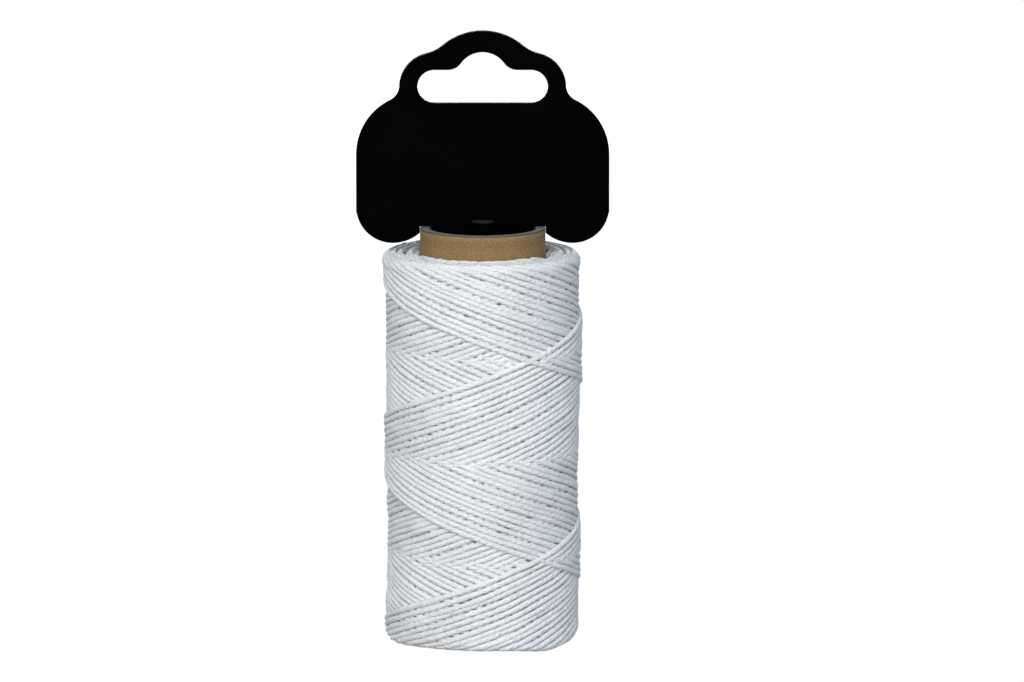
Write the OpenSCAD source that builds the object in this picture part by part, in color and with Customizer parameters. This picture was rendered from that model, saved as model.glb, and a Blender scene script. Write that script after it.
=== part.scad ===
// Spool of waxed thread on a spiral-wound cardboard tube, with a plastic
// hanging tag that swivels on a plug in the tube's mouth.
// +Z runs up the tube, the tag lies in the XZ plane, and z = 0 is the tube's
// lower rim.

/* [Cardboard tube] */
// Length of the tube
tube_len = 103.2; // [70:0.2:200]
// Radius of the tube's bore
bore_r = 13; // [11:0.5:20]
// Thickness of the paper lining in the bore
liner_t = 0.35; // [0.25:0.05:0.8]
// Thickness of each of the three grey board plies
board_t = 0.55; // [0.3:0.05:0.9]
// Thickness of the brown paper wrap on the outside
wrap_t = 0.35; // [0.2:0.05:0.8]
// How far the plug has pressed the lining back at the mouth
mouth_press = 0.2; // [0.16:0.01:0.22]

/* [Thread] */
// Thickness of the thread
thread_d = 1.5; // [1:0.1:1.8]
// Outer radius of the wound thread
package_r = 24; // [23.5:0.1:34]
// Bare tube above the thread
bare_top = 5.4; // [5:0.1:14]
// Bare tube below the thread
bare_bottom = 1.5; // [0.8:0.1:8]
// Down-and-up strokes of the thread guide in the outer layer
double_strokes = 6; // [3:1:6]
// Distance of the turning points from the ends of the package
turn_inset = 3; // [2:0.1:8]
// Rounding of the two ends of the inner layers
core_round = 2; // [0.5:0.1:3]

/* [Hanging tag] */
// Thickness of the tag
tag_t = 1.8; // [1.2:0.1:2.6]
// Width of the tag
tag_w = 62.2; // [60:0.2:90]
// Height of the tag's shoulders above the tube's rim
shoulder_h = 33.1; // [30:0.1:60]
// Rounding of the shoulders
shoulder_r = 15; // [8:0.5:15]
// How far the two lower lobes hang below the rim
lobe_drop = 3.8; // [3:0.1:4.9]
// Outer rounding of a lobe
lobe_outer_r = 9; // [6:0.5:10]
// Inner rounding of a lobe
lobe_inner_r = 10; // [8:0.5:12]

/* [Hanging slot] */
// Width of the slot
slot_w = 32; // [28:0.5:36]
// Height of the slot
slot_h = 8.2; // [6:0.1:10]
// Depth of the slot's lower edge under the tag's shoulders
slot_sink = 2.2; // [0:0.1:4]
// Radius of the rise in the middle of the slot
rise_r = 6.5; // [5:0.1:8]
// Height of that rise above the slot
rise_h = 4.4; // [2:0.1:5]
// Width of the band at the sides of the slot
band_w = 4.5; // [3.5:0.1:7]
// Width of the band over the slot's two shoulders
band_over = 4.2; // [3.5:0.1:6]
// Width of the band over the rise
crown_w = 5.2; // [4:0.1:7]
// Outer rounding of the band's shoulders
band_r = 8.6; // [6:0.1:8.6]
// Outer rounding of the band over the rise
crown_r = 15.2; // [14:0.1:20]
// Hollow rounding between the rise's band and the shoulders' band
crown_blend = 9.8; // [6:0.2:12]
// Hollow rounding where the band meets the tag's body
blend_r = 4; // [2:0.5:5]
// Rounding of the corners between the slot and its rise
slot_corner_r = 4; // [0.8:0.1:4.5]

/* [Swivel] */
// Radius of the tag's stem
stem_r = 3; // [2.5:0.1:4]
// Height of the stem's top above the rim
stem_rise = 1.9; // [0.5:0.1:6]
// How far the snap head stands out past the stem
snap_lip = 0.6; // [0.4:0.05:0.8]
// Height of the snap head
snap_h = 2.6; // [2:0.1:4]
// Width of the slit between the stem's two prongs
slit_w = 1.3; // [0.8:0.1:1.8]

/* [Plug] */
// Depth of the plug's top below the rim
plug_sink = 2.5; // [1.5:0.1:5]
// Length of the plug
plug_len = 18; // [14:0.5:30]
// Wall thickness of the plug's skirt and webs
plug_wall = 1.2; // [1:0.1:1.8]
// Thickness of the plug's top
plug_top_t = 1.8; // [1.2:0.1:3]
// How far the grip ribs stand out of the skirt
rib_h = 0.4; // [0.3:0.05:0.6]
// Number of grip ribs
rib_count = 12; // [6:1:20]
// Number of webs under the plug's top
web_count = 4; // [3:1:8]
// Height of the socket that holds the stem
socket_h = 5; // [4:0.1:8]

/* [Clearances] */
// Clearance of the stem in its socket, on the radius
stem_gap = 0.05; // [0.02:0.01:0.1]
// Clearance of the grip ribs in the mouth, on the radius
plug_gap = 0.09; // [0.03:0.01:0.1]
// Clearance between the tag's tongue and the tube, and over its rim
tag_gap = 0.3; // [0.2:0.05:0.6]
// Clearance between the tag's lobes and the tube's wall
lobe_gap = 0.1; // [0.05:0.01:0.6]
// Clearance under the tag's tongue and over the snap head
seat_gap = 0.12; // [0.05:0.01:0.25]
// Least clearance between two strands of the outer layer where they cross
strand_gap = 0.65; // [0.65:0.05:1]
// Clearance between the outer layer and the inner layers
core_gap = 0.3; // [0.3:0.05:0.6]

/* [Hidden] */
$fn = 96;
kraft = [0.72, 0.56, 0.38];
grey_board = [0.58, 0.57, 0.56];
thread_white = [0.93, 0.94, 0.96];
tag_black = [0.05, 0.05, 0.055];

// Radii of the tube, from the bore outwards
lining_r = bore_r + liner_t;
board_r = lining_r + 3 * board_t;
wrap_r = board_r + wrap_t;
mouth_r = bore_r + mouth_press;

// Heights, with the plug's own parts measured from the rim
rim = tube_len;
plug_top = rim - plug_sink;
plug_bottom = plug_top - plug_len;
mouth_spare = 1.5;
mouth_bottom = plug_bottom - mouth_spare;
package_bottom = bare_bottom;
package_top = rim - bare_top;

// The outer layer: rings of the swept tube, the winding's radii and its lead
sides = 6;
loops = 4;
stroke_rings = 48;
up_r = package_r - thread_d / 2;
down_r = up_r - thread_d - strand_gap;
core_r = down_r - thread_d / 2 - core_gap;
turn_top = package_top - turn_inset;
turn_bottom = package_bottom + turn_inset;
travel = turn_top - turn_bottom;
ring_rise = travel / (stroke_rings - 1);
ring_deg = (360 * loops - 360 / (double_strokes + 1)) / (2 * stroke_rings);
start_deg = 64;
tail_run = 1.3;
pocket_depth = 1.3;
pocket_side = thread_d / 2 / cos(30) + 0.2;

// Radii of the plug, and the details of its ribs
rib_r = mouth_r - plug_gap;
skirt_r = rib_r - rib_h;
socket_bore = stem_r + stem_gap;
socket_wall = 2;
socket_r = socket_bore + socket_wall;
rib_round = 0.8;
rib_point = 0.3;
rib_lead = 1;
rib_inset = 1.5;
rib_start = 0.2;
socket_bottom = plug_top - plug_top_t - socket_h;

// Small chamfers of the plug, the stem and the snap head
plug_edge = 0.4;
stem_edge = 0.5;
head_edge = 0.4;
head_taper = 0.6;

// The tag's outline, measured from the tube's rim
half_w = tag_w / 2;
lobe_x = half_w - lobe_outer_r;
slot_low = shoulder_h - slot_sink;
slot_high = slot_low + slot_h;
band_x = slot_w / 2 + band_w;
band_top = slot_high + band_over;
crown_top = slot_high + rise_h + crown_w;
tongue_x = bore_r - tag_gap;
notch_x = wrap_r + lobe_gap;

// Outline helpers ---------------------------------------------------------

// Centre of the circle of radius r that touches two circles from outside
function touching(c1, r1, c2, r2, r) =
    let (a = r1 + r, b = r2 + r, v = c2 - c1, d = norm(v),
         along = (a * a - b * b + d * d) / (2 * d),
         off = sqrt(max(0, a * a - along * along)))
    c1 + along * v / d + off * [-v[1], v[0]] / d;

// Fills the inner corner between two round outlines with a hollow curve, which
// cuts both by a hair, because outlines that only touch leave a sliver
blend_lap = 0.004;
module blend(c1, c2, f, r) {
    difference() {
        polygon([c1, f, c2]);
        translate(f) circle(r + blend_lap);
    }
}

module rod_2d(x, low, high) {
    translate([-x, low]) square([2 * x, high - low]);
}

module both_sides() {
    children();
    mirror([1, 0]) children();
}

// Cardboard tube ----------------------------------------------------------

// One ply: a plain ring from radius a to radius b over the tube's length
module ply(a, b) {
    rotate_extrude() translate([a, 0]) square([b - a, tube_len]);
}

module tube_lining() {
    color(kraft) rotate_extrude() polygon([
        [bore_r, 0], [lining_r, 0], [lining_r, rim], [mouth_r, rim],
        [mouth_r, mouth_bottom], [bore_r, mouth_bottom - mouth_press * 3]]);
}

module board_ply(i) {
    color(grey_board) ply(lining_r + i * board_t, lining_r + (i + 1) * board_t);
}

module kraft_wrap() {
    color(kraft) ply(board_r, wrap_r);
}

// Thread ------------------------------------------------------------------

function ring_place(r, deg, z) = [r * cos(deg), r * sin(deg), z];

// Ring k of stroke s: even strokes run down inside, odd ones up outside
function strand_point(s, k) =
    ring_place(s % 2 == 0 ? down_r : up_r,
               start_deg + (s * stroke_rings + k) * ring_deg,
               s % 2 == 0 ? turn_top - k * ring_rise : turn_bottom + k * ring_rise);

// The two ends dip into the inner layers, square to their surface
strokes = 2 * double_strokes;
head_deg = start_deg - tail_run / down_r * 180 / PI;
tail_deg = start_deg + (strokes * stroke_rings - 1) * ring_deg + tail_run / up_r * 180 / PI;
sunk_r = core_r - pocket_depth + core_gap / 2;
head = [ring_place(sunk_r, head_deg, turn_top),
        ring_place(sunk_r + thread_d, head_deg, turn_top)];
tail = [ring_place(up_r - thread_d * 0.6, tail_deg, turn_top),
        ring_place(sunk_r, tail_deg, turn_top)];
strand = concat(head,
                [for (s = [0:strokes - 1], k = [0:stroke_rings - 1]) strand_point(s, k)],
                tail);

function unit(v) = v / norm(v);
function along(p, i) =
    unit((i == 0 ? [0, 0, 0] : unit(p[i] - p[i - 1]))
         + (i == len(p) - 1 ? [0, 0, 0] : unit(p[i + 1] - p[i])));

// One ring of the swept tube: sides corners round point i of path p
function ring(p, i, r) =
    let (t = along(p, i), u = unit([0, 0, 1] - t[2] * t), w = cross(t, u))
    [for (j = [0:sides - 1]) p[i] + r * (cos(j * 360 / sides) * u + sin(j * 360 / sides) * w)];

// A closed tube of triangles along the path
module swept_tube(p, r) {
    n = len(p);
    corners = [for (i = [0:n - 1]) each ring(p, i, r)];
    walls = [for (i = [0:n - 2], j = [0:sides - 1])
        let (a = i * sides + j, b = i * sides + (j + 1) % sides)
        each [[a, b, b + sides], [a, b + sides, a + sides]]];
    first = [for (j = [1:sides - 2]) [0, j + 1, j]];
    last = [for (j = [1:sides - 2]) (n - 1) * sides * [1, 1, 1] + [0, j, j + 1]];
    polyhedron(corners, concat(walls, first, last));
}

// Shortest distance from point q to the straight piece a-b
function to_piece(q, a, b) =
    let (v = b - a, t = max(0, min(1, (q - a) * v / (v * v))))
    norm(q - a - t * v);

// Least gap between rings of the path and its straight pieces half a turn on
function least_gap(p, d) =
    min([for (i = [0:len(p) - 14], j = [i + 12:len(p) - 2])
        if (abs(p[i][2] - p[j][2]) < 4 * d) to_piece(p[i], p[j], p[j + 1])]) - d;

module thread_inner_layers() {
    color(thread_white) difference() {
        rotate_extrude() intersection() {
            translate([wrap_r, package_bottom])
                square([core_r - wrap_r, package_top - package_bottom]);
            union() {
                translate([0, package_bottom + core_round])
                    square([core_r, package_top - package_bottom - 2 * core_round]);
                translate([0, package_bottom])
                    square([core_r - core_round, package_top - package_bottom]);
                for (z = [package_bottom + core_round, package_top - core_round])
                    translate([core_r - core_round, z]) circle(core_round);
            }
        }
        for (deg = [head_deg, tail_deg])
            rotate([0, 0, deg]) translate([core_r - pocket_depth, 0, turn_top])
                rotate([0, 90, 0]) cylinder(r = pocket_side, h = 2 * pocket_depth, $fn = 6);
    }
}

module thread_outer_layer() {
    echo(least_gap_mm = min(least_gap(strand, thread_d),
                            least_gap([for (i = [len(strand) - 1:-1:0]) strand[i]], thread_d)),
         loops = strokes * stroke_rings * ring_deg / 360);
    color(thread_white) swept_tube(strand, thread_d / 2);
}

// Plug --------------------------------------------------------------------

module plug() {
    skirt_in = skirt_r - plug_wall;
    lead = plug_wall * 0.7;
    socket_low = socket_bottom - plug_top;
    overlap = 0.3;
    color(tag_black) translate([0, 0, plug_top]) {
        rotate_extrude() polygon([
            [socket_bore, 0], [skirt_r - plug_edge, 0], [skirt_r, -plug_edge],
            [skirt_r, lead - plug_len], [skirt_r - lead, -plug_len],
            [skirt_in, -plug_len], [skirt_in, -plug_top_t], [socket_r, -plug_top_t],
            [socket_r, socket_low], [socket_bore + stem_edge, socket_low],
            [socket_bore, socket_low + stem_edge]]);
        for (i = [0:web_count - 1])
            rotate([0, 0, (i + 0.5) * 360 / web_count])
                translate([socket_r - overlap, -plug_wall / 2, socket_low])
                    cube([skirt_in - socket_r + 2 * overlap, plug_wall, socket_h + overlap]);
        for (i = [0:rib_count - 1])
            rotate([0, 0, (i + 0.5) * 360 / rib_count])
                translate([skirt_r + rib_h - rib_round, 0, lead - plug_len + rib_start]) {
                    cylinder(r1 = rib_point, r2 = rib_round, h = rib_lead);
                    translate([0, 0, rib_lead]) cylinder(r = rib_round,
                        h = plug_len - lead - rib_start - rib_lead - rib_inset);
                }
    }
}

// Hanging tag -------------------------------------------------------------

module slot_2d() {
    end_r = slot_h / 2;
    side_x = slot_w / 2 - end_r;
    rise_c = [0, slot_high + rise_h - rise_r];
    corner_z = slot_high + slot_corner_r;
    corner_x = sqrt(pow(rise_r + slot_corner_r, 2) - pow(corner_z - rise_c[1], 2));
    rod_2d(side_x, slot_low, slot_high);
    both_sides() translate([side_x, slot_low + end_r]) circle(end_r);
    intersection() {
        translate(rise_c) circle(rise_r);
        rod_2d(slot_w / 2, slot_high - 1, slot_high + rise_h + 1);
    }
    both_sides() blend(rise_c, [corner_x, slot_low], [corner_x, corner_z], slot_corner_r);
}

module outline_2d() {
    top_c = [half_w - shoulder_r, shoulder_h - shoulder_r];
    band_c = [band_x - band_r, band_top - band_r];
    crown_c = [0, crown_top - crown_r];
    foot_c = [band_x + blend_r,
              top_c[1] + sqrt(pow(shoulder_r + blend_r, 2) - pow(band_x + blend_r - top_c[0], 2))];
    // body with round shoulders
    rod_2d(half_w, lobe_drop, top_c[1]);
    rod_2d(top_c[0], top_c[1] - 1, shoulder_h);
    both_sides() translate(top_c) circle(shoulder_r);
    rod_2d(lobe_x, tag_gap, lobe_drop + 1);
    // band round the slot
    rod_2d(band_x, top_c[1], band_c[1]);
    rod_2d(band_c[0], top_c[1], band_top);
    both_sides() translate(band_c) circle(band_r);
    intersection() {
        translate(crown_c) circle(crown_r);
        rod_2d(band_c[0] + 1, shoulder_h, crown_top + 1);
    }
    both_sides() blend(crown_c, band_c,
                       touching(crown_c, crown_r, band_c, band_r, crown_blend), crown_blend);
    both_sides() difference() {
        polygon([[0, foot_c[1]], foot_c, top_c, [0, top_c[1]]]);
        translate(foot_c) circle(blend_r);
    }
    // two lobes that straddle the tube, each of two arcs that meet at its lowest point
    both_sides() intersection() {
        translate([lobe_x, lobe_outer_r - lobe_drop]) circle(lobe_outer_r);
        translate([lobe_x, -lobe_drop]) square(2 * lobe_outer_r);
    }
    both_sides() intersection() {
        translate([lobe_x, lobe_inner_r - lobe_drop]) circle(lobe_inner_r);
        translate([notch_x, -lobe_drop]) square([lobe_x - notch_x, lobe_drop + lobe_inner_r]);
    }
    // tongue in the tube's mouth
    rod_2d(tongue_x, seat_gap - plug_sink, tag_gap + 1);
}

module hang_tag() {
    head_top = socket_bottom - seat_gap;
    head_r = stem_r + snap_lip;
    color(tag_black) {
        translate([0, tag_t / 2, rim]) rotate([90, 0, 0]) linear_extrude(tag_t)
            difference() {
                outline_2d();
                slot_2d();
            }
        difference() {
            rotate_extrude() polygon([
                [0, rim + stem_rise], [stem_r - stem_edge, rim + stem_rise],
                [stem_r, rim + stem_rise - stem_edge], [stem_r, head_top],
                [head_r, head_top], [head_r, head_top - head_edge],
                [stem_r - head_taper, head_top - snap_h], [0, head_top - snap_h]]);
            translate([-stem_r * 2, -slit_w / 2, head_top - snap_h - 1])
                cube([stem_r * 4, slit_w, snap_h + socket_h]);
        }
    }
}

tube_lining();
board_ply(0);  // board_ply_inner
board_ply(1);  // board_ply_middle
board_ply(2);  // board_ply_outer
kraft_wrap();
thread_inner_layers();
thread_outer_layer();
plug();
hang_tag();
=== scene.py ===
import math

import bpy
import numpy as np
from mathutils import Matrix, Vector


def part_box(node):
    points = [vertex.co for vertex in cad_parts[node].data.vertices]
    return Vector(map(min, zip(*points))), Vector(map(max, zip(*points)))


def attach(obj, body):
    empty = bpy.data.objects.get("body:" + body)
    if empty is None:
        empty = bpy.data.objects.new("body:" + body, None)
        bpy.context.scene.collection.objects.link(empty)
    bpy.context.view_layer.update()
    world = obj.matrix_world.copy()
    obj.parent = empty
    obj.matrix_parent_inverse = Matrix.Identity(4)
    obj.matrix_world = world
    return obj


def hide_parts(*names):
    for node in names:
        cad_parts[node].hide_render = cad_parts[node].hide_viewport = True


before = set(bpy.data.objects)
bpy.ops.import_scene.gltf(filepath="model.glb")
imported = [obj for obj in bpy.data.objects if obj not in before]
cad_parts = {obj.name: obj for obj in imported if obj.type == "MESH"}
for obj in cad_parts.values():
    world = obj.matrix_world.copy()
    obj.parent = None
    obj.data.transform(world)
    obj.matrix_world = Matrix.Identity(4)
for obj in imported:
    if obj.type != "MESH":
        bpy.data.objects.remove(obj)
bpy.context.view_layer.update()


# ---- Camera -------------------------------------------------------------
# A long lens, far off and a little above the spool, square to the tag. The picture is
# FRAME_PX wide, and its scale is the one that things have at the aim.

MM = 0.001
CAM_RISE = math.radians(9.3)
CAM_AIM = Vector((7.2, 0, 74.85)) * MM
CAM_FAR = 2.5
FRAME_PX, PX_PER_M = 1024, 4060
SENSOR = 36                         # width in mm


def added(name, data):
    """A new object in the scene, made of its data."""
    new = bpy.data.objects.new(name, data)
    bpy.context.scene.collection.objects.link(new)
    return new


camera_data = bpy.data.cameras.new("camera")
camera_data.sensor_width = SENSOR
camera_data.lens = SENSOR * PX_PER_M * CAM_FAR / FRAME_PX
camera_data.clip_start, camera_data.clip_end = 0.1, 20
camera = added("camera", camera_data)
backwards = Vector((0, -math.cos(CAM_RISE), math.sin(CAM_RISE)))
camera.location = CAM_AIM + backwards * CAM_FAR
camera.rotation_euler = (-backwards).to_track_quat("-Z", "Y").to_euler()
bpy.context.scene.camera = camera


# ---- Cardboard tube -----------------------------------------------------
# Three plies of grey recycled board, lined with paper and wrapped in brown kraft paper.
# Each is a strip, wound as a helix and glued, and the tube is cut to length afterwards.
# The lining is pressed back where the plug sits.

TUBE_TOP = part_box("kraft_wrap")[1][2]
BORE_R, MOUTH_R = 13.0 * MM, 13.2 * MM
LINING_T, BOARD_T, WRAP_T = 0.35 * MM, 0.55 * MM, 0.35 * MM
BOARD_R = [BORE_R + LINING_T + i * BOARD_T for i in range(4)]   # between and beside the plies
WRAP_R = BORE_R + LINING_T + 3 * BOARD_T + WRAP_T
WRAP_SPARE = 0.06 * MM              # the wrap's paper stands this much off the board
MOUTH_LOW, MOUTH_STEP = 81.2 * MM, 0.6 * MM     # where the pressed mouth starts, and its slope
PACK_TOP, PACK_LOW = 97.8 * MM, 1.5 * MM        # the thread is wound between these heights
STRIP_CLIMB = 42 * MM               # of the wrap's seam in one turn
RING_STEPS = 240
WELD = 0.001 * MM                   # points closer than this become one

CUT_EDGE = bpy.data.textures.new("cut edge", "CLOUDS")
CUT_EDGE.noise_scale = 5 * MM


def linear(code):
    """A linear colour from an sRGB hex code."""
    parts = [int(code[i:i + 2], 16) / 255 for i in (0, 2, 4)]
    return tuple(c / 12.92 if c < 0.04045 else ((c + 0.055) / 1.055) ** 2.4 for c in parts) + (1,)


def grey(value):
    """The same linear value for all three colours."""
    return (value, value, value, 1)


def wire(node, inputs):
    """Sets a node's inputs to values, or links them to nodes or to single outputs of nodes."""
    for key, value in inputs.items():
        if isinstance(value, bpy.types.Node):
            value = value.outputs[0]
        if isinstance(value, bpy.types.NodeSocket):
            node.id_data.links.new(value, node.inputs[key])
        else:
            node.inputs[key].default_value = value


def add(tree, kind, inputs=None, stops=(), **settings):
    """Adds a shader node: its inputs by name or number, a ramp's (position, colour) stops."""
    node = tree.nodes.new("ShaderNode" + kind)
    for key, value in settings.items():
        setattr(node, key, value)
    wire(node, inputs or {})
    for _ in stops[2:]:     # a new ramp has two stops
        node.color_ramp.elements.new(0.5)
    for i, (place, colour) in enumerate(stops):
        node.color_ramp.elements[i].position = place
        node.color_ramp.elements[i].color = colour
    return node


def new_material(name):
    """A material with its node tree and its Principled shader."""
    made = bpy.data.materials.new(name)
    made.use_nodes = True
    return made, made.node_tree, made.node_tree.nodes["Principled BSDF"]


def kraft_paper():
    """Unbleached machine-made paper: matt and brown, mottled by short pale and dark fibres."""
    made, tree, shader = new_material("kraft_paper")
    # real fibres are finer: these are as coarse as they need to be to show
    fibre_long, fibre_wide = 0.6 * MM, 0.4 * MM
    speck, cloud = 0.38 * MM, 4.5 * MM
    seam_start, seam_wide = 0.15, 0.008     # in turns
    place = add(tree, "TexCoord").outputs["Object"]
    up = add(tree, "SeparateXYZ", {0: place}).outputs["Z"]
    turn = add(tree, "TexGradient", {0: place}, gradient_type="RADIAL").outputs["Fac"]
    around = add(tree, "Math", {0: turn, 1: 2 * math.pi * WRAP_R / fibre_long}, operation="MULTIPLY")
    along = add(tree, "Math", {0: up, 1: 1 / fibre_wide}, operation="MULTIPLY")
    flat = add(tree, "CombineXYZ", {"X": around, "Y": along})
    fibres = add(tree, "TexNoise", {"Vector": flat, "Scale": 1, "Detail": 5, "Roughness": 0.65})
    specks = add(tree, "TexNoise", {"Vector": place, "Scale": 1 / speck, "Detail": 2})
    clouds = add(tree, "TexNoise", {"Vector": place, "Scale": 1 / cloud, "Detail": 3})
    brown = add(tree, "ValToRGB", {0: fibres}, [
        (0.30, linear("73593b")), (0.50, linear("967850")), (0.72, linear("ad8e66"))])
    dark = add(tree, "ValToRGB", {0: specks}, [(0.30, grey(0.72)), (0.42, grey(1.0))])
    soft = add(tree, "ValToRGB", {0: clouds}, [(0.3, grey(0.9)), (0.7, grey(1.06))])
    brown = add(tree, "MixRGB", {0: 0.8, 1: brown, 2: dark}, blend_type="MULTIPLY")
    brown = add(tree, "MixRGB", {0: 1.0, 1: brown, 2: soft}, blend_type="MULTIPLY")
    # painted light: the paper is paler under the rim, where light from above falls, and paler just above
    # the thread, as light thrown back by the white thread; between these it is darker, and a dark line
    # runs along the very top of the rim
    above_thread = add(tree, "MapRange", {"Value": up, "From Min": PACK_TOP - MM, "From Max": TUBE_TOP})
    wear_and_painted_light = add(tree, "ValToRGB", {0: above_thread}, [
        (0.0, grey(0.94)), (0.36, grey(0.94)), (0.56, grey(0.79)), (0.74, grey(0.79)),
        (0.86, grey(0.96)), (0.945, grey(0.96)), (0.965, grey(0.30)), (1.0, grey(0.30))])
    warm = add(tree, "MixRGB", {0: 1.0, 1: wear_and_painted_light, 2: (1.0, 0.97, 0.88, 1)}, blend_type="MULTIPLY")
    brown = add(tree, "MixRGB", {0: 1.0, 1: brown, 2: warm}, blend_type="MULTIPLY")
    # the edge of the strip shows as a thin darker line that climbs round the tube
    climb = add(tree, "Math", {0: up, 1: 1 / STRIP_CLIMB, 2: turn}, operation="MULTIPLY_ADD")
    strip = add(tree, "Math", {0: climb, 1: seam_start}, operation="SUBTRACT")
    strip = add(tree, "Math", {0: strip}, operation="FRACT")
    seam = add(tree, "Math", {0: strip, 1: seam_wide}, operation="LESS_THAN")
    shade = add(tree, "Math", {0: seam, 1: 0.6}, operation="MULTIPLY")
    brown = add(tree, "MixRGB", {0: shade, 1: brown, 2: linear("6a5238")})
    height = add(tree, "Math", {0: seam, 1: -0.8, 2: fibres}, operation="MULTIPLY_ADD")
    bump = add(tree, "Bump", {"Strength": 0.35, "Distance": 0.06 * MM, "Height": height})
    wire(shader, {"Base Color": brown, "Roughness": 0.8, "Normal": bump})
    return made


def grey_board():
    """Board of pulped waste paper: matt and grey, with fine light and dark specks."""
    made, tree, shader = new_material("grey_board")
    speck, cloud = 0.33 * MM, 3.8 * MM
    place = add(tree, "TexCoord").outputs["Object"]
    specks = add(tree, "TexNoise", {"Vector": place, "Scale": 1 / speck, "Detail": 4, "Roughness": 0.7})
    clouds = add(tree, "TexNoise", {"Vector": place, "Scale": 1 / cloud, "Detail": 3})
    pulp = add(tree, "ValToRGB", {0: specks}, [
        (0.30, linear("525862")), (0.55, linear("757b85")), (0.75, linear("989ca2"))])
    soft = add(tree, "ValToRGB", {0: clouds}, [(0.3, grey(0.85)), (0.7, grey(1.05))])
    pulp = add(tree, "MixRGB", {0: 1.0, 1: pulp, 2: soft}, blend_type="MULTIPLY")
    bump = add(tree, "Bump", {"Strength": 0.4, "Distance": 0.08 * MM, "Height": specks})
    wire(shader, {"Base Color": pulp, "Roughness": 0.9, "Normal": bump})
    return made


def pick(piece):
    """Makes a piece the only one that operators act on."""
    bpy.ops.object.select_all(action="DESELECT")
    piece.select_set(True)
    bpy.context.view_layer.objects.active = piece


def edit(piece, *steps):
    """Runs steps on the whole of a piece in edit mode, each an operator with its settings."""
    pick(piece)
    bpy.ops.object.mode_set(mode="EDIT")
    for operator, settings in steps:
        bpy.ops.mesh.select_all(action="SELECT")
        operator(**settings)
    bpy.ops.object.mode_set(mode="OBJECT")


def finish(piece, name, body, node, made_of, soft=15):
    """Names a piece, gives it its material, hangs it on the body that it rides on, and hides the part that
    it stands for.

    Edges that turn by less than soft degrees are shaded smooth.
    """
    piece.name = piece.data.name = name
    piece.data.materials.clear()
    piece.data.materials.append(made_of)
    pick(piece)
    bpy.ops.object.shade_smooth_by_angle(angle=math.radians(soft))
    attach(piece, body)
    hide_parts(node)


def ply(name, inner, outer, ease, sink, node, made_of, mouth=None):
    """A ply: the section of its wall, with eased corners, spun round the tube's axis.

    The cut upper end is worn down by up to sink. The lining's mouth is a wider radius.
    """
    bpy.ops.object.select_all(action="DESELECT")
    bpy.ops.mesh.primitive_plane_add(size=1, location=((inner + outer) / 2, 0, TUBE_TOP / 2),
                                     rotation=(math.pi / 2, 0, 0))
    ring = bpy.context.object
    ring.scale = (outer - inner, TUBE_TOP, 1)
    bpy.ops.object.transform_apply()
    if mouth:
        for height in (MOUTH_LOW - MOUTH_STEP, MOUTH_LOW):
            edit(ring, (bpy.ops.mesh.bisect, {"plane_co": (0, 0, height), "plane_no": (0, 0, 1)}))
        for vertex in ring.data.vertices:
            if vertex.co.x < (inner + outer) / 2 and vertex.co.z > MOUTH_LOW - MOUTH_STEP / 2:
                vertex.co.x = mouth
        # the cuts' inner edges go, and their points on the straight outer side
        edit(ring, (bpy.ops.mesh.dissolve_limited, {"angle_limit": math.radians(1)}))
    edit(ring,
         (bpy.ops.mesh.bevel, {"affect": "VERTICES", "offset": ease, "segments": 2}),
         (bpy.ops.mesh.delete, {"type": "ONLY_FACE"}),
         (bpy.ops.mesh.spin, {"steps": RING_STEPS, "angle": 2 * math.pi, "axis": (0, 0, 1)}),
         (bpy.ops.mesh.remove_doubles, {"threshold": WELD}),
         (bpy.ops.mesh.normals_make_consistent, {"inside": False}))
    rim = ring.vertex_groups.new(name="rim")
    rim.add([v.index for v in ring.data.vertices if v.co.z > TUBE_TOP - 2 * ease], 1, "REPLACE")
    wear_and_painted_light = ring.modifiers.new("wear_and_painted_light", "DISPLACE")
    wear_and_painted_light.texture, wear_and_painted_light.vertex_group, wear_and_painted_light.direction = CUT_EDGE, "rim", "Z"
    wear_and_painted_light.mid_level, wear_and_painted_light.strength = 0, -sink
    bpy.ops.object.modifier_apply(modifier="wear_and_painted_light")
    ring.vertex_groups.clear()
    finish(ring, name, "spool", node, made_of)


KRAFT, BOARD = kraft_paper(), grey_board()
ply("tube_lining_paper", BORE_R, BOARD_R[0], ease=0.04 * MM, sink=0.06 * MM,
    node="tube_lining", made_of=KRAFT, mouth=MOUTH_R)
for word, inside, outside in zip(("inner", "middle", "outer"), BOARD_R, BOARD_R[1:]):
    ply(f"board_ring_{word}", inside, outside, ease=0.08 * MM, sink=0.168 * MM,
        node=f"board_ply_{word}", made_of=BOARD)
ply("kraft_outer_paper", BOARD_R[3], WRAP_R + WRAP_SPARE, ease=0.12 * MM, sink=0.096 * MM,
    node="kraft_wrap", made_of=KRAFT)


# ---- Thread -------------------------------------------------------------
# White waxed thread of three twisted plies, 1.5 mm thick, cross-wound by machine in double
# strokes, down and up the turning tube. Each double lies beside the one before, and a new
# strand rests on the older ones that it crosses.

PITCH = 50.5 * MM                   # climb of a strand in one turn
SPACING = 1.53 * MM                 # from one double stroke to the next, along the tube
APEX_TOP, APEX_LOW = 98.5 * MM, -1.8 * MM   # where the strokes would meet if not rounded
TURN_TOP, TURN_LOW = 0.060, 0.070   # rounding of the turns there, in turns of the tube
FRONT_Z = 77.85 * MM                # height of the newest down stroke at the front
TAIL_TURNS = 0.88                   # the last stroke stops at the back
DOUBLES = 118                       # double strokes from the tube outwards
SHOWN = 34                          # the newest, drawn whole; older ones only near the ends
STEP = 0.6 * MM                     # along a strand
MEAN_R = 24 * MM

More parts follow.
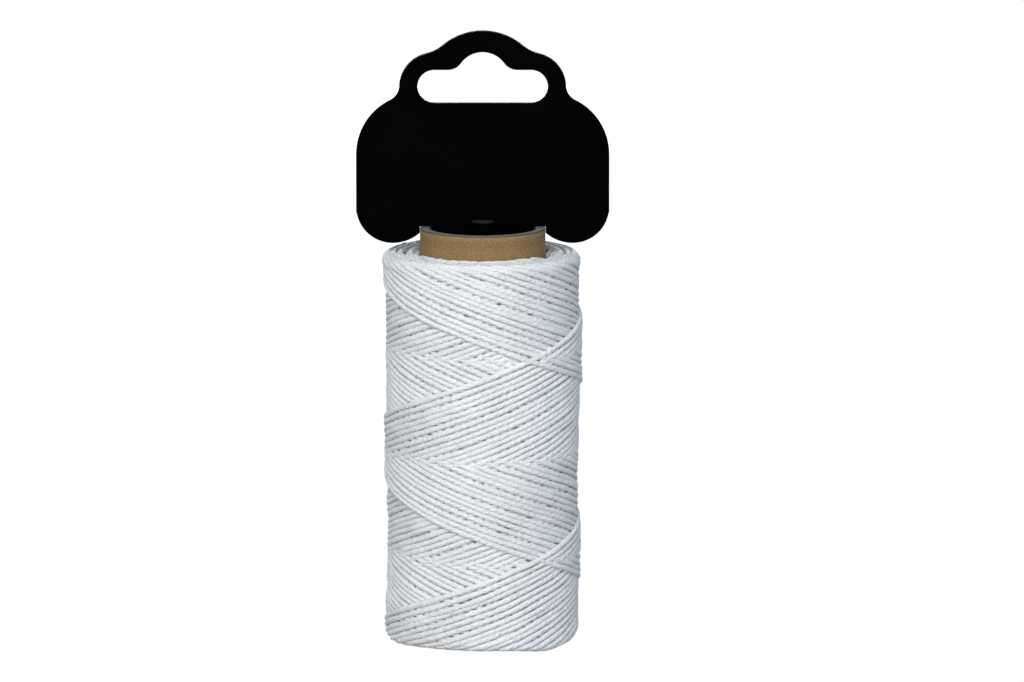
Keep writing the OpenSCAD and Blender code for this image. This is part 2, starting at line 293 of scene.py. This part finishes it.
SLOPE_WAVE = 0.06                   # strands climb faster at the front and back
WAVE_FADE, WANDER_FADE, WANDER_LEAST = 0.2, 0.1, 0.3    # towards the turns, in turns
APART = (-0.12, -0.12, 0.24)        # mm: most strands touch the last, each third stands off
APART_SPREAD, DRIFT_REACH = 0.08, 3     # mm, and the doubles over which it is made up for
WANDERS = ((0.08, (0.8, 1.8)), (0.07, (2.5, 4.5)), (0.045, (8, 13)))    # mm, and waves
WANDER_START = (0, 6.28)            # of a wander's phase

CELL = 0.25 * MM                    # of the map of heights, which keeps what is laid
MARGIN = 4 * MM                     # of the map past the package's ends
HALF_W, HALF_H = 0.70 * MM, 0.62 * MM       # of a strand on the map
BEARING = 0.5                       # share of its width that rests on what is below
START = 4                           # points of a stroke that don't climb the end of the last
CLIMB_LIMIT, CLIMB_ON = 1.6 * HALF_H, 0.15  # turns pile up freely to here, and then by a share
TAUT, TAUT_REACH = 0.017 * MM, 5    # how a taut strand sinks past a hump, and for how many steps
EVEN_REACH = 2                      # steps over which its height is evened out
PRESSED_IN = 0.1 * HALF_H           # it beds into what is below

WALL = np.array([                   # height and outer radius of the package
    (0, 23.8), (14, 23.9), (22, 23.7), (45, 23.7), (60, 24.0), (90, 24.1), (98, 23.8)]) * MM
WALL_REACH, WALL_SPARE = 8, 0.03    # the laid package is evened to the wall, by this share at most
ROUND_TOP, ROUND_LOW = 2.9 * MM, 1.9 * MM   # rounding of its shoulders
SAGS = ((0.80, 0.36, 1.15 * MM), (-1.12, 0.30, 0.6 * MM))   # angle, width, depth of loose turns
FLAT_SHARE, FLAT_DEPTH = 0.5, 8 * MM        # pressing of the outer layers, and how deep it goes
PROUD, LEAST_DEPTH = 0.04 * MM, 0.5 * MM    # of strands over the wall, of middles over the tube

THICK, WIDE = 0.58 * MM, 0.69 * MM  # half of the drawn strand, outwards and sideways
SWELL, SWELL_REACH = 0.15, 2        # share of its thickness, and steps
TAIL_TUCK, TAIL_STEPS = 0.6 * MM, 8
END_REACH = 6 * MM                  # older strands are drawn this far from the ends
END_STEPS = 6                       # and are left out where no longer than this
OUTER_PIECES = 4
SIDES, SIDES_BELOW = 8, 6
PLIES, LAY = 3, 5.4 * MM            # of the twist
UV_PER_M = 100                      # the patterns on a strand count its length in centimetres
UNDER_CELLS, UNDER_SINK = 2, 0.1 * MM       # mesh of the layers below, and its depth under them
UNDER_EDGE, UNDER_RUNS = 0.2 * MM, 300      # its edges over the tube, and its strands per metre


def smooth(values, width):
    """Values smoothed with a bell curve, width steps wide."""
    bell = np.exp(-0.5 * (np.arange(-3 * width, 3 * width + 1) / width) ** 2)
    return np.convolve(np.pad(values, 3 * width, mode="edge"), bell / bell.sum(), "valid")


def winding():
    """Each stroke's angle from the front towards +X, its height, and the number of its double."""
    rng = np.random.default_rng(7)
    span = (APEX_TOP - APEX_LOW) / PITCH
    t = np.linspace(0, span, int(span * 2 * math.pi * MEAN_R / STEP))
    first = -(APEX_TOP - FRONT_Z) / PITCH
    # the gap to the next strand varies, and soon evens out
    apart = rng.choice(APART, 2 * DOUBLES) + rng.normal(0, APART_SPREAD, 2 * DOUBLES)
    drift = np.cumsum(apart.reshape(-1, 2) * MM, 0)
    drift = drift - np.apply_along_axis(lambda a: smooth(a, DRIFT_REACH), 0, drift)
    strokes = []
    for k in range(DOUBLES):
        ahead = (DOUBLES - 1 - k) * SPACING / PITCH
        for up in (False, True):
            if up:
                start, z, low, top = first + span + ahead, APEX_LOW + PITCH * t, t, span - t
            else:
                start, z, low, top = first + ahead, APEX_TOP - PITCH * t, span - t, t
            # each turn is rounded by a parabola
            z = z - PITCH * np.maximum(TURN_TOP - top, 0) ** 2 / (2 * TURN_TOP)
            z = z + PITCH * np.maximum(TURN_LOW - low, 0) ** 2 / (2 * TURN_LOW)
            phi = (start + t) * 2 * math.pi
            inner = np.minimum(low, top)
            wave = PITCH / (2 * math.pi) * SLOPE_WAVE * np.sin(2 * phi) * np.clip(inner / WAVE_FADE, 0, 1)
            wander = drift[k, int(up)] + sum(
                size * MM * np.sin(phi * rng.uniform(*waves) + rng.uniform(*WANDER_START))
                for size, waves in WANDERS)
            z = z + (wave if up else -wave) + wander * np.clip(inner / WANDER_FADE, WANDER_LEAST, 1)
            # of the last double only part of the down stroke is there
            if k == DOUBLES - 1:
                if up:
                    continue
                phi, z = phi[t < TAIL_TURNS], z[t < TAIL_TURNS]
            strokes.append((phi, z, k))
    return strokes


def lay(strokes):
    """Lays the strands on a map of radii, each on what is below it.

    Gives the radius of each strand's middle, the map under the newest strokes, the map at
    last, and the height of its lowest row.
    """
    cols, rows = round(2 * math.pi * MEAN_R / CELL), int((PACK_TOP - PACK_LOW + 2 * MARGIN) / CELL)
    base = PACK_LOW - MARGIN
    top = np.full((rows, cols), WRAP_R)
    reach = int(HALF_W / CELL) + 1
    near = np.arange(-reach, reach + 1)
    du, dv = (a.ravel() for a in np.meshgrid(near, near))
    placed, below = [], None
    for phi, z, k in strokes:
        if below is None and k == DOUBLES - SHOWN:
            below = top.copy()
        # the cells near each of its points, and how far they lie to its side
        c, r = phi / (2 * math.pi) * cols, (z - base) / CELL
        ci, ri = np.round(c).astype(int)[:, None] + du, np.round(r).astype(int)[:, None] + dv
        dz, ds = np.gradient(z), np.gradient(phi) * MEAN_R
        length = np.hypot(dz, ds)
        across = CELL * ((ci - c[:, None]) * -(dz / length)[:, None]
                         + (ri - r[:, None]) * (ds / length)[:, None])
        rise = HALF_H * np.sqrt(np.clip(1 - (across / HALF_W) ** 2, 0, 1))
        inside = (np.abs(across) < HALF_W) & (ri >= 0) & (ri < rows)
        ci, rc = ci % cols, np.clip(ri, 0, rows - 1)
        # each point rests on the highest of what lies below it, or on the tube
        under = np.where(np.abs(across) < BEARING * HALF_W, top[rc, ci] + rise, 0).max(1)
        under = np.maximum(under, WRAP_R + HALF_H)
        under[:START] = under[START]
        cap = np.median(top[rows // 4: 3 * rows // 4]) + CLIMB_LIMIT
        under = np.where(under > cap, cap + CLIMB_ON * (under - cap), under)
        # the strand is taut, so it spans the hollows between the humps
        best = under.copy()
        for s in range(1, TAUT_REACH + 1):
            best[s:] = np.maximum(best[s:], under[:-s] - TAUT * s * s)
            best[:-s] = np.maximum(best[:-s], under[s:] - TAUT * s * s)
        middle = smooth(best, EVEN_REACH) - PRESSED_IN
        placed.append(middle)
        np.maximum.at(top, (rc[inside], ci[inside]), (middle[:, None] + rise)[inside])
    return placed, below, top, base


def shaped(r, z, phi, at, share):
    """Takes laid radii and heights to the package's outline: its wall, shoulders and flat ends."""
    r = WRAP_R + (r - WRAP_R) * np.interp(z, at, share)
    level = np.interp(z, WALL[:, 0], WALL[:, 1]) - THICK + PROUD
    # the outer layers are pressed flat into each other, the ones at the tube are not
    deep = level - r
    r = level - deep * (1 - FLAT_SHARE + FLAT_SHARE * np.clip(deep / FLAT_DEPTH, 0, 1) ** 2)
    # here and there the lowest turns hang down
    sag = 0
    for angle, width, depth in SAGS:
        off = np.mod(phi - angle + math.pi, 2 * math.pi) - math.pi
        sag = sag + depth * np.exp(-(off / width) ** 2)
    # past a shoulder's start a strand follows its rounding, then the flat end
    low, high = PACK_LOW + THICK + ROUND_LOW - sag, PACK_TOP - THICK - ROUND_TOP
    bent = np.where(z > high, ROUND_TOP, ROUND_LOW)
    past = np.maximum(np.maximum(low - z, z - high), 0)
    bend = np.minimum(past / bent, math.pi / 2)
    inward = bent * (1 - np.cos(bend)) + np.maximum(past - bent * math.pi / 2, 0)
    z = np.clip(z, low, high) + np.sign(z - low) * bent * np.sin(bend)
    return np.maximum(r - inward, WRAP_R + LEAST_DEPTH), z


def on_cylinder(r, phi, z):
    """Points at a radius, an angle from the front and a height."""
    return np.stack([r * np.sin(phi), -r * np.cos(phi), z], -1)


def strand_rings(r, phi, z, sides, swell):
    """Corners of an oval swept along the strand, with the length up to each ring."""
    p = on_cylinder(r, phi, z)
    t = np.gradient(p, axis=0)
    step = np.linalg.norm(t, axis=1)
    # t points along the strand, out away from the tube's axis, and side across both
    t /= step[:, None]
    out = on_cylinder(np.ones_like(phi), phi, np.zeros_like(z))
    out -= (out * t).sum(1)[:, None] * t
    out /= np.linalg.norm(out, axis=1)[:, None]
    side = np.cross(t, out)
    a = np.arange(sides) * 2 * math.pi / sides
    ring = (p[:, None] + THICK * np.cos(a)[None, :, None] * (out * swell[:, None])[:, None]
            + WIDE * np.sin(a)[None, :, None] * (side * swell[:, None])[:, None])
    return ring, np.cumsum(step)


def thread_piece(name, points, quads, uv, node):
    """A mesh of quads with a UV map, in thread."""
    mesh = bpy.data.meshes.new(name)
    mesh.vertices.add(len(points))
    mesh.vertices.foreach_set("co", points.ravel())
    mesh.loops.add(quads.size)
    mesh.loops.foreach_set("vertex_index", quads.ravel())
    mesh.polygons.add(len(quads))
    mesh.polygons.foreach_set("loop_start", np.arange(len(quads)) * 4)
    mesh.update(calc_edges=True)
    mesh.validate()
    mesh.uv_layers.new(name="UVMap").data.foreach_set("uv", uv.ravel())
    finish(added(name, mesh), name, "spool", node, THREAD, 180)


def strands_piece(name, parts, sides, node):
    """Many strands in one mesh. Its UV is the length along a strand and the way round it."""
    rng = np.random.default_rng(11)
    points, quads, uv, offset = [], [], [], 0
    for r, phi, z in parts:
        # spun thread swells and thins a little along its length
        swell = 1 + SWELL * smooth(rng.normal(0, 1, len(r)), SWELL_REACH)
        ring, run = strand_rings(r, phi, z, sides, swell)
        n = len(ring)
        i, j = np.meshgrid(np.arange(n - 1), np.arange(sides), indexing="ij")
        a, b = i * sides + j, i * sides + (j + 1) % sides
        quads.append((np.stack([a, b, b + sides, a + sides], -1) + offset).reshape(-1, 4))
        u = np.stack([run[i], run[i], run[i + 1], run[i + 1]], -1) * UV_PER_M
        v = np.stack([j, j + 1, j + 1, j], -1) / sides
        uv.append(np.stack([u, v], -1).reshape(-1, 2))
        # flat caps close both ends
        k = np.arange(sides // 2 - 1)
        cap = np.stack([k, k + 1, sides - 2 - k, sides - 1 - k], -1)
        quads += [cap[:, ::-1] + offset, cap + (n - 1) * sides + offset]
        for at in (0, n - 1):
            uv.append(np.stack([np.full(cap.size, run[at] * UV_PER_M), cap.ravel() / sides], -1))
        points.append(ring.reshape(-1, 3))
        offset += n * sides
    thread_piece(name, np.concatenate(points), np.concatenate(quads), np.concatenate(uv), node)


def waxed_thread():
    """Bleached spun polyester with a thin coat of wax: three white plies that catch the light
    one by one, fuzzy where fibres stand off, with a faint sheen."""
    made, tree, shader = new_material("waxed_thread")
    # single fibres are too fine to show, so they are drawn as tufts and lumps
    lump, fluff, cloud = 0.71 * MM, 0.53 * MM, 11 * MM
    place = add(tree, "TexCoord").outputs["Object"]
    uv = add(tree, "SeparateXYZ", {0: add(tree, "UVMap", uv_map="UVMap")})
    u, v = uv.outputs["X"], uv.outputs["Y"]
    lays = add(tree, "Math", {0: u, 1: PLIES / UV_PER_M / LAY}, operation="MULTIPLY")
    phase = add(tree, "Math", {0: v, 1: PLIES, 2: lays}, operation="MULTIPLY_ADD")
    wave = add(tree, "Math", {0: phase, 1: 2 * math.pi}, operation="MULTIPLY")
    wave = add(tree, "Math", {0: wave}, operation="SINE")
    plies = add(tree, "Math", {0: wave, 1: 0.5, 2: 0.5}, operation="MULTIPLY_ADD")
    across = add(tree, "Math", {0: phase, 1: 4.0}, operation="MULTIPLY")
    along = add(tree, "Math", {0: u, 1: 1.6}, operation="MULTIPLY")
    twisted = add(tree, "CombineXYZ", {"X": across, "Y": along})
    fibres = add(tree, "TexNoise", {"Vector": twisted, "Scale": 2.2, "Detail": 3, "Roughness": 0.6})
    lumps = add(tree, "TexNoise", {"Vector": place, "Scale": 1 / lump, "Detail": 2})
    height = add(tree, "Math", {0: fibres, 1: 0.9}, operation="MULTIPLY")
    height = add(tree, "Math", {0: plies, 1: 0.45, 2: height}, operation="MULTIPLY_ADD")
    height = add(tree, "Math", {0: lumps, 1: 2.4, 2: height}, operation="MULTIPLY_ADD")
    bump = add(tree, "Bump", {"Strength": 1.0, "Distance": 0.18 * MM, "Height": height})
    clouds = add(tree, "TexNoise", {"Vector": place, "Scale": 1 / cloud, "Detail": 4})
    white = add(tree, "ValToRGB", {0: clouds}, [(0.3, linear("f1f1f2")), (0.7, linear("fcfbfc"))])
    # painted shade: the white is a little darker in the grooves between the plies
    groove_shade = add(tree, "ValToRGB", {0: plies}, [(0.0, grey(0.95)), (0.3, grey(1.0))])
    fuzz = add(tree, "TexNoise", {"Vector": place, "Scale": 1 / fluff, "Detail": 3, "Roughness": 0.7})
    fuzz = add(tree, "ValToRGB", {0: fuzz}, [(0.35, grey(0.84)), (0.58, grey(1.0))])
    white = add(tree, "MixRGB", {0: 1.0, 1: white, 2: groove_shade}, blend_type="MULTIPLY")
    white = add(tree, "MixRGB", {0: 1.0, 1: white, 2: fuzz}, blend_type="MULTIPLY")
    rough = add(tree, "MapRange", {"Value": fibres, "To Min": 0.55, "To Max": 0.75})
    wire(shader, {"Base Color": white, "Roughness": rough, "Normal": bump,
                  "Sheen Weight": 0.15, "Coat Weight": 0.06, "Coat Roughness": 0.35})
    return made


THREAD = waxed_thread()
strokes = winding()
placed, below, top, base = lay(strokes)

# how much the laid package is drawn in or out at each height to reach its wall
at = base + np.arange(len(top)) * CELL
mean = smooth(top.mean(1), WALL_REACH)
mean = np.clip(mean, np.median(mean) * (1 - WALL_SPARE), np.median(mean) * (1 + WALL_SPARE))
share = (np.interp(at, WALL[:, 0], WALL[:, 1]) - WRAP_R) / (mean - WRAP_R)

newest, ends = [], []
for (phi, z, k), r in zip(strokes, placed):
    r, z = shaped(r, z, phi, at, share)
    if k == DOUBLES - 1:    # the thread's end is tucked in
        last = np.arange(len(r)) - len(r) + 1 + TAIL_STEPS
        r = r - TAIL_TUCK * np.clip(last / TAIL_STEPS, 0, 1)
    if k >= DOUBLES - SHOWN:
        newest.append((r, phi, z))
        continue
    near = (z > PACK_TOP - END_REACH) | (z < PACK_LOW + END_REACH)
    edges = np.flatnonzero(np.diff(near.astype(int))) + 1
    for run in np.split(np.arange(len(z)), edges):
        if near[run[0]] and len(run) > END_STEPS:
            ends.append((r[run], phi[run], z[run]))
part = math.ceil(len(newest) / OUTER_PIECES)
for i in range(OUTER_PIECES):
    strands_piece(f"thread_outer_layer_{i + 1}", newest[i * part:(i + 1) * part], SIDES,
                  "thread_outer_layer")
half = len(ends) // 2
strands_piece("thread_inner_turns_1", ends[:half], SIDES_BELOW, "thread_inner_layers")
strands_piece("thread_inner_turns_2", ends[half:], SIDES_BELOW, "thread_inner_layers")

# what shows between the strands: the layers below, from the map, closed along the tube;
# they end as far inside the package as the map goes past it
edge = int(2 * MARGIN / CELL)
ri = np.arange(edge, len(below) - edge, UNDER_CELLS)
ci = np.arange(0, below.shape[1], UNDER_CELLS)
z, phi = base + ri * CELL, ci * 2 * math.pi / below.shape[1]
r = shaped(below[np.ix_(ri, ci)], z[:, None], phi[None, :], at, share)[0] - UNDER_SINK
r[[0, -1]] = WRAP_R + UNDER_EDGE
grid = on_cylinder(r, phi[None, :] + 0 * r, z[:, None] + 0 * r)
i, j = np.meshgrid(np.arange(len(z)), np.arange(len(phi)), indexing="ij")
above, beside = (i + 1) % len(z), (j + 1) % len(phi)
quads = len(phi) * np.stack([i, i, above, above], -1) + np.stack([j, beside, beside, j], -1)
spot = np.stack([phi[j] * MEAN_R * UV_PER_M, z[i] * UNDER_RUNS], -1).reshape(-1, 2)
thread_piece("thread_under_layers", grid.reshape(-1, 3), quads.reshape(-1, 4), np.repeat(spot, 4, 0),
             "thread_inner_layers")


# ---- Hanging tag and plug -----------------------------------------------
# Two mouldings of black polypropylene. The plug is pressed into the tube's mouth, and the
# tag's stem snaps into the plug and turns there. Each is the construction's own mesh with
# its edges rounded as a mould leaves them.

BOSS_TOP, BOSS_R, TAG_T = 105.1 * MM, 3.05 * MM, 1.8 * MM
SLIVER = 0.02 * MM                  # shorter edges of the construction's mesh are merged
EDGE_FROM, EDGE_SEGMENTS = 32, 3    # edges that turn by more than these degrees are rounded
SOFT_TO = 40                        # and the ones under these are shaded smooth


def black_polypropylene():
    """Moulded black polypropylene: nearly lightless, with a fine grain, faint flow marks that
    are glossier, and a painted highlight of lighter grey on the boss's flat top."""
    made, tree, shader = new_material("black_polypropylene")
    # the mould's real grain is finer: this one is as coarse as it needs to be to show
    grit, flow_mark = 0.29 * MM, 17 * MM
    highlight_low, highlight_full, highlight_off = 0.6 * MM, 0.35 * MM, 0.05 * MM
    place = add(tree, "TexCoord").outputs["Object"]
    grain = add(tree, "TexNoise", {"Vector": place, "Scale": 1 / grit, "Detail": 3, "Roughness": 0.6})
    flow = add(tree, "TexNoise", {"Vector": place, "Scale": 1 / flow_mark, "Detail": 3, "Distortion": 0.6})
    black = add(tree, "ValToRGB", {0: flow}, [(0.3, linear("010101")), (0.7, linear("020202"))])
    # painted highlight: a lighter grey near the boss's top, inside its radius and off the faces of the tag
    xyz = add(tree, "SeparateXYZ", {0: place})
    high = add(tree, "MapRange", {"Value": xyz.outputs["Z"], "From Min": BOSS_TOP - highlight_low,
                                  "From Max": BOSS_TOP - highlight_full})
    level = add(tree, "VectorMath", {0: place, 1: (1, 1, 0)}, operation="MULTIPLY")
    out = add(tree, "VectorMath", {0: level}, operation="LENGTH").outputs["Value"]
    near = add(tree, "Math", {0: out, 1: BOSS_R}, operation="LESS_THAN")
    off = add(tree, "Math", {0: xyz.outputs["Y"]}, operation="ABSOLUTE")
    proud = add(tree, "Math", {0: off, 1: TAG_T / 2 + highlight_off}, operation="GREATER_THAN")
    painted_highlight = add(tree, "Math", {0: near, 1: proud}, operation="MULTIPLY")
    painted_highlight = add(tree, "Math", {0: painted_highlight, 1: high}, operation="MULTIPLY")
    black = add(tree, "MixRGB", {0: painted_highlight, 1: black, 2: linear("262626")})
    rough = add(tree, "MapRange", {"Value": flow, "To Min": 0.42, "To Max": 0.58})
    bump = add(tree, "Bump", {"Strength": 0.25, "Distance": 0.04 * MM, "Height": grain})
    # a low specular level keeps the white room from greying it
    wire(shader, {"Base Color": black, "Roughness": rough, "Normal": bump, "Specular IOR Level": 0.008})
    return made


def moulding(name, node, body, rounding, flat):
    """A copy of the node's mesh, with its edges rounded.

    Its triangles are merged first where they turn by less than flat degrees.
    """
    piece = added(name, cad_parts[node].data.copy())
    edit(piece,
         (bpy.ops.mesh.remove_doubles, {"threshold": SLIVER}),
         (bpy.ops.mesh.dissolve_limited, {"angle_limit": math.radians(flat), "delimit": set()}))
    bevel = piece.modifiers.new("edges", "BEVEL")
    bevel.width, bevel.segments = rounding, EDGE_SEGMENTS
    bevel.limit_method, bevel.angle_limit = "ANGLE", math.radians(EDGE_FROM)
    bevel.use_clamp_overlap = True
    bpy.ops.object.modifier_apply(modifier="edges")
    finish(piece, name, body, node, PLASTIC, SOFT_TO)
    # large flat faces stay flat to the eye, and the rounding alone turns the light
    even = piece.modifiers.new("even", "WEIGHTED_NORMAL")
    even.mode, even.weight, even.keep_sharp = "FACE_AREA", 100, True
    bpy.ops.object.modifier_apply(modifier="even")


PLASTIC = black_polypropylene()
moulding("tag_moulding", "hang_tag", "tag", rounding=0.25 * MM, flat=0.6)
moulding("plug_moulding", "plug", "plug", rounding=0.12 * MM, flat=4)


# ---- Floor and light ----------------------------------------------------
# A plain pale floor in a white room, lit softly from the left front. Both look white to the
# eye, also in gloss and through glass, while the spool is lit by three lamps, a dim pale
# blue room and what the floor throws back.

LIGHT_AIM = Vector((0, 0, 60)) * MM
FLOOR_SIZE, FLOOR_MIDDLE = 9, (0, 1.5, 0)
FLOOR_GLOW, FLOOR_SEEN = 1.1, 0.9   # the white that is seen, and its share; the rest takes shadow


def straight_rays(tree):
    """One for rays from the camera, and for what gloss or glass shows; nought for the rest."""
    rays = add(tree, "LightPath").outputs
    seen = add(tree, "Math", {0: rays["Is Camera Ray"], 1: rays["Is Glossy Ray"]}, operation="MAXIMUM")
    return add(tree, "Math", {0: seen, 1: rays["Is Transmission Ray"]}, operation="MAXIMUM")


bpy.ops.object.select_all(action="DESELECT")
bpy.ops.mesh.primitive_plane_add(size=FLOOR_SIZE, location=FLOOR_MIDDLE)
bpy.ops.object.transform_apply()
floor = bpy.context.object
floor.name = floor.data.name = "floor"
made, tree, shader = new_material("floor")
wire(shader, {"Base Color": grey(0.42), "Roughness": 0.9})
glow = add(tree, "Emission", {"Color": grey(1), "Strength": FLOOR_GLOW})
seen_share = add(tree, "Math", {0: straight_rays(tree), 1: FLOOR_SEEN}, operation="MULTIPLY")
mix = add(tree, "MixShader", {0: seen_share, 1: shader, 2: glow})
wire(tree.nodes["Material Output"], {"Surface": mix})
floor.data.materials.append(made)

world = bpy.data.worlds.new("room")
bpy.context.scene.world = world
world.use_nodes = True
tree = world.node_tree
room = tree.nodes["Background"]
wire(room, {"Color": (0.57, 0.78, 1.0, 1), "Strength": 0.35})
white_room = add(tree, "Background", {"Color": grey(1), "Strength": 1.0})
mix = add(tree, "MixShader", {0: straight_rays(tree), 1: room, 2: white_room})
wire(tree.nodes["World Output"], {"Surface": mix})


def area_light(name, place, size, watts, colour):
    """A square lamp that is aimed at the middle of the spool."""
    data = bpy.data.lights.new(name, "AREA")
    data.shape, data.size, data.energy, data.color = "SQUARE", size, watts, colour
    light = added(name, data)
    light.location = place
    light.rotation_euler = (LIGHT_AIM - Vector(place)).to_track_quat("-Z", "Y").to_euler()


area_light("key", (-0.17, -0.90, 0.62), size=0.7, watts=10.0, colour=(1.0, 0.975, 0.925))
area_light("fill", (0.75, -0.65, 0.25), size=0.6, watts=1.1, colour=(0.68, 0.83, 1.0))
area_light("back", (0, 1.0, 0.1), size=0.2, watts=4.0, colour=(1.0, 0.98, 0.935))
bpy.context.scene.view_settings.view_transform = "Standard"

bpy.context.view_layer.update()
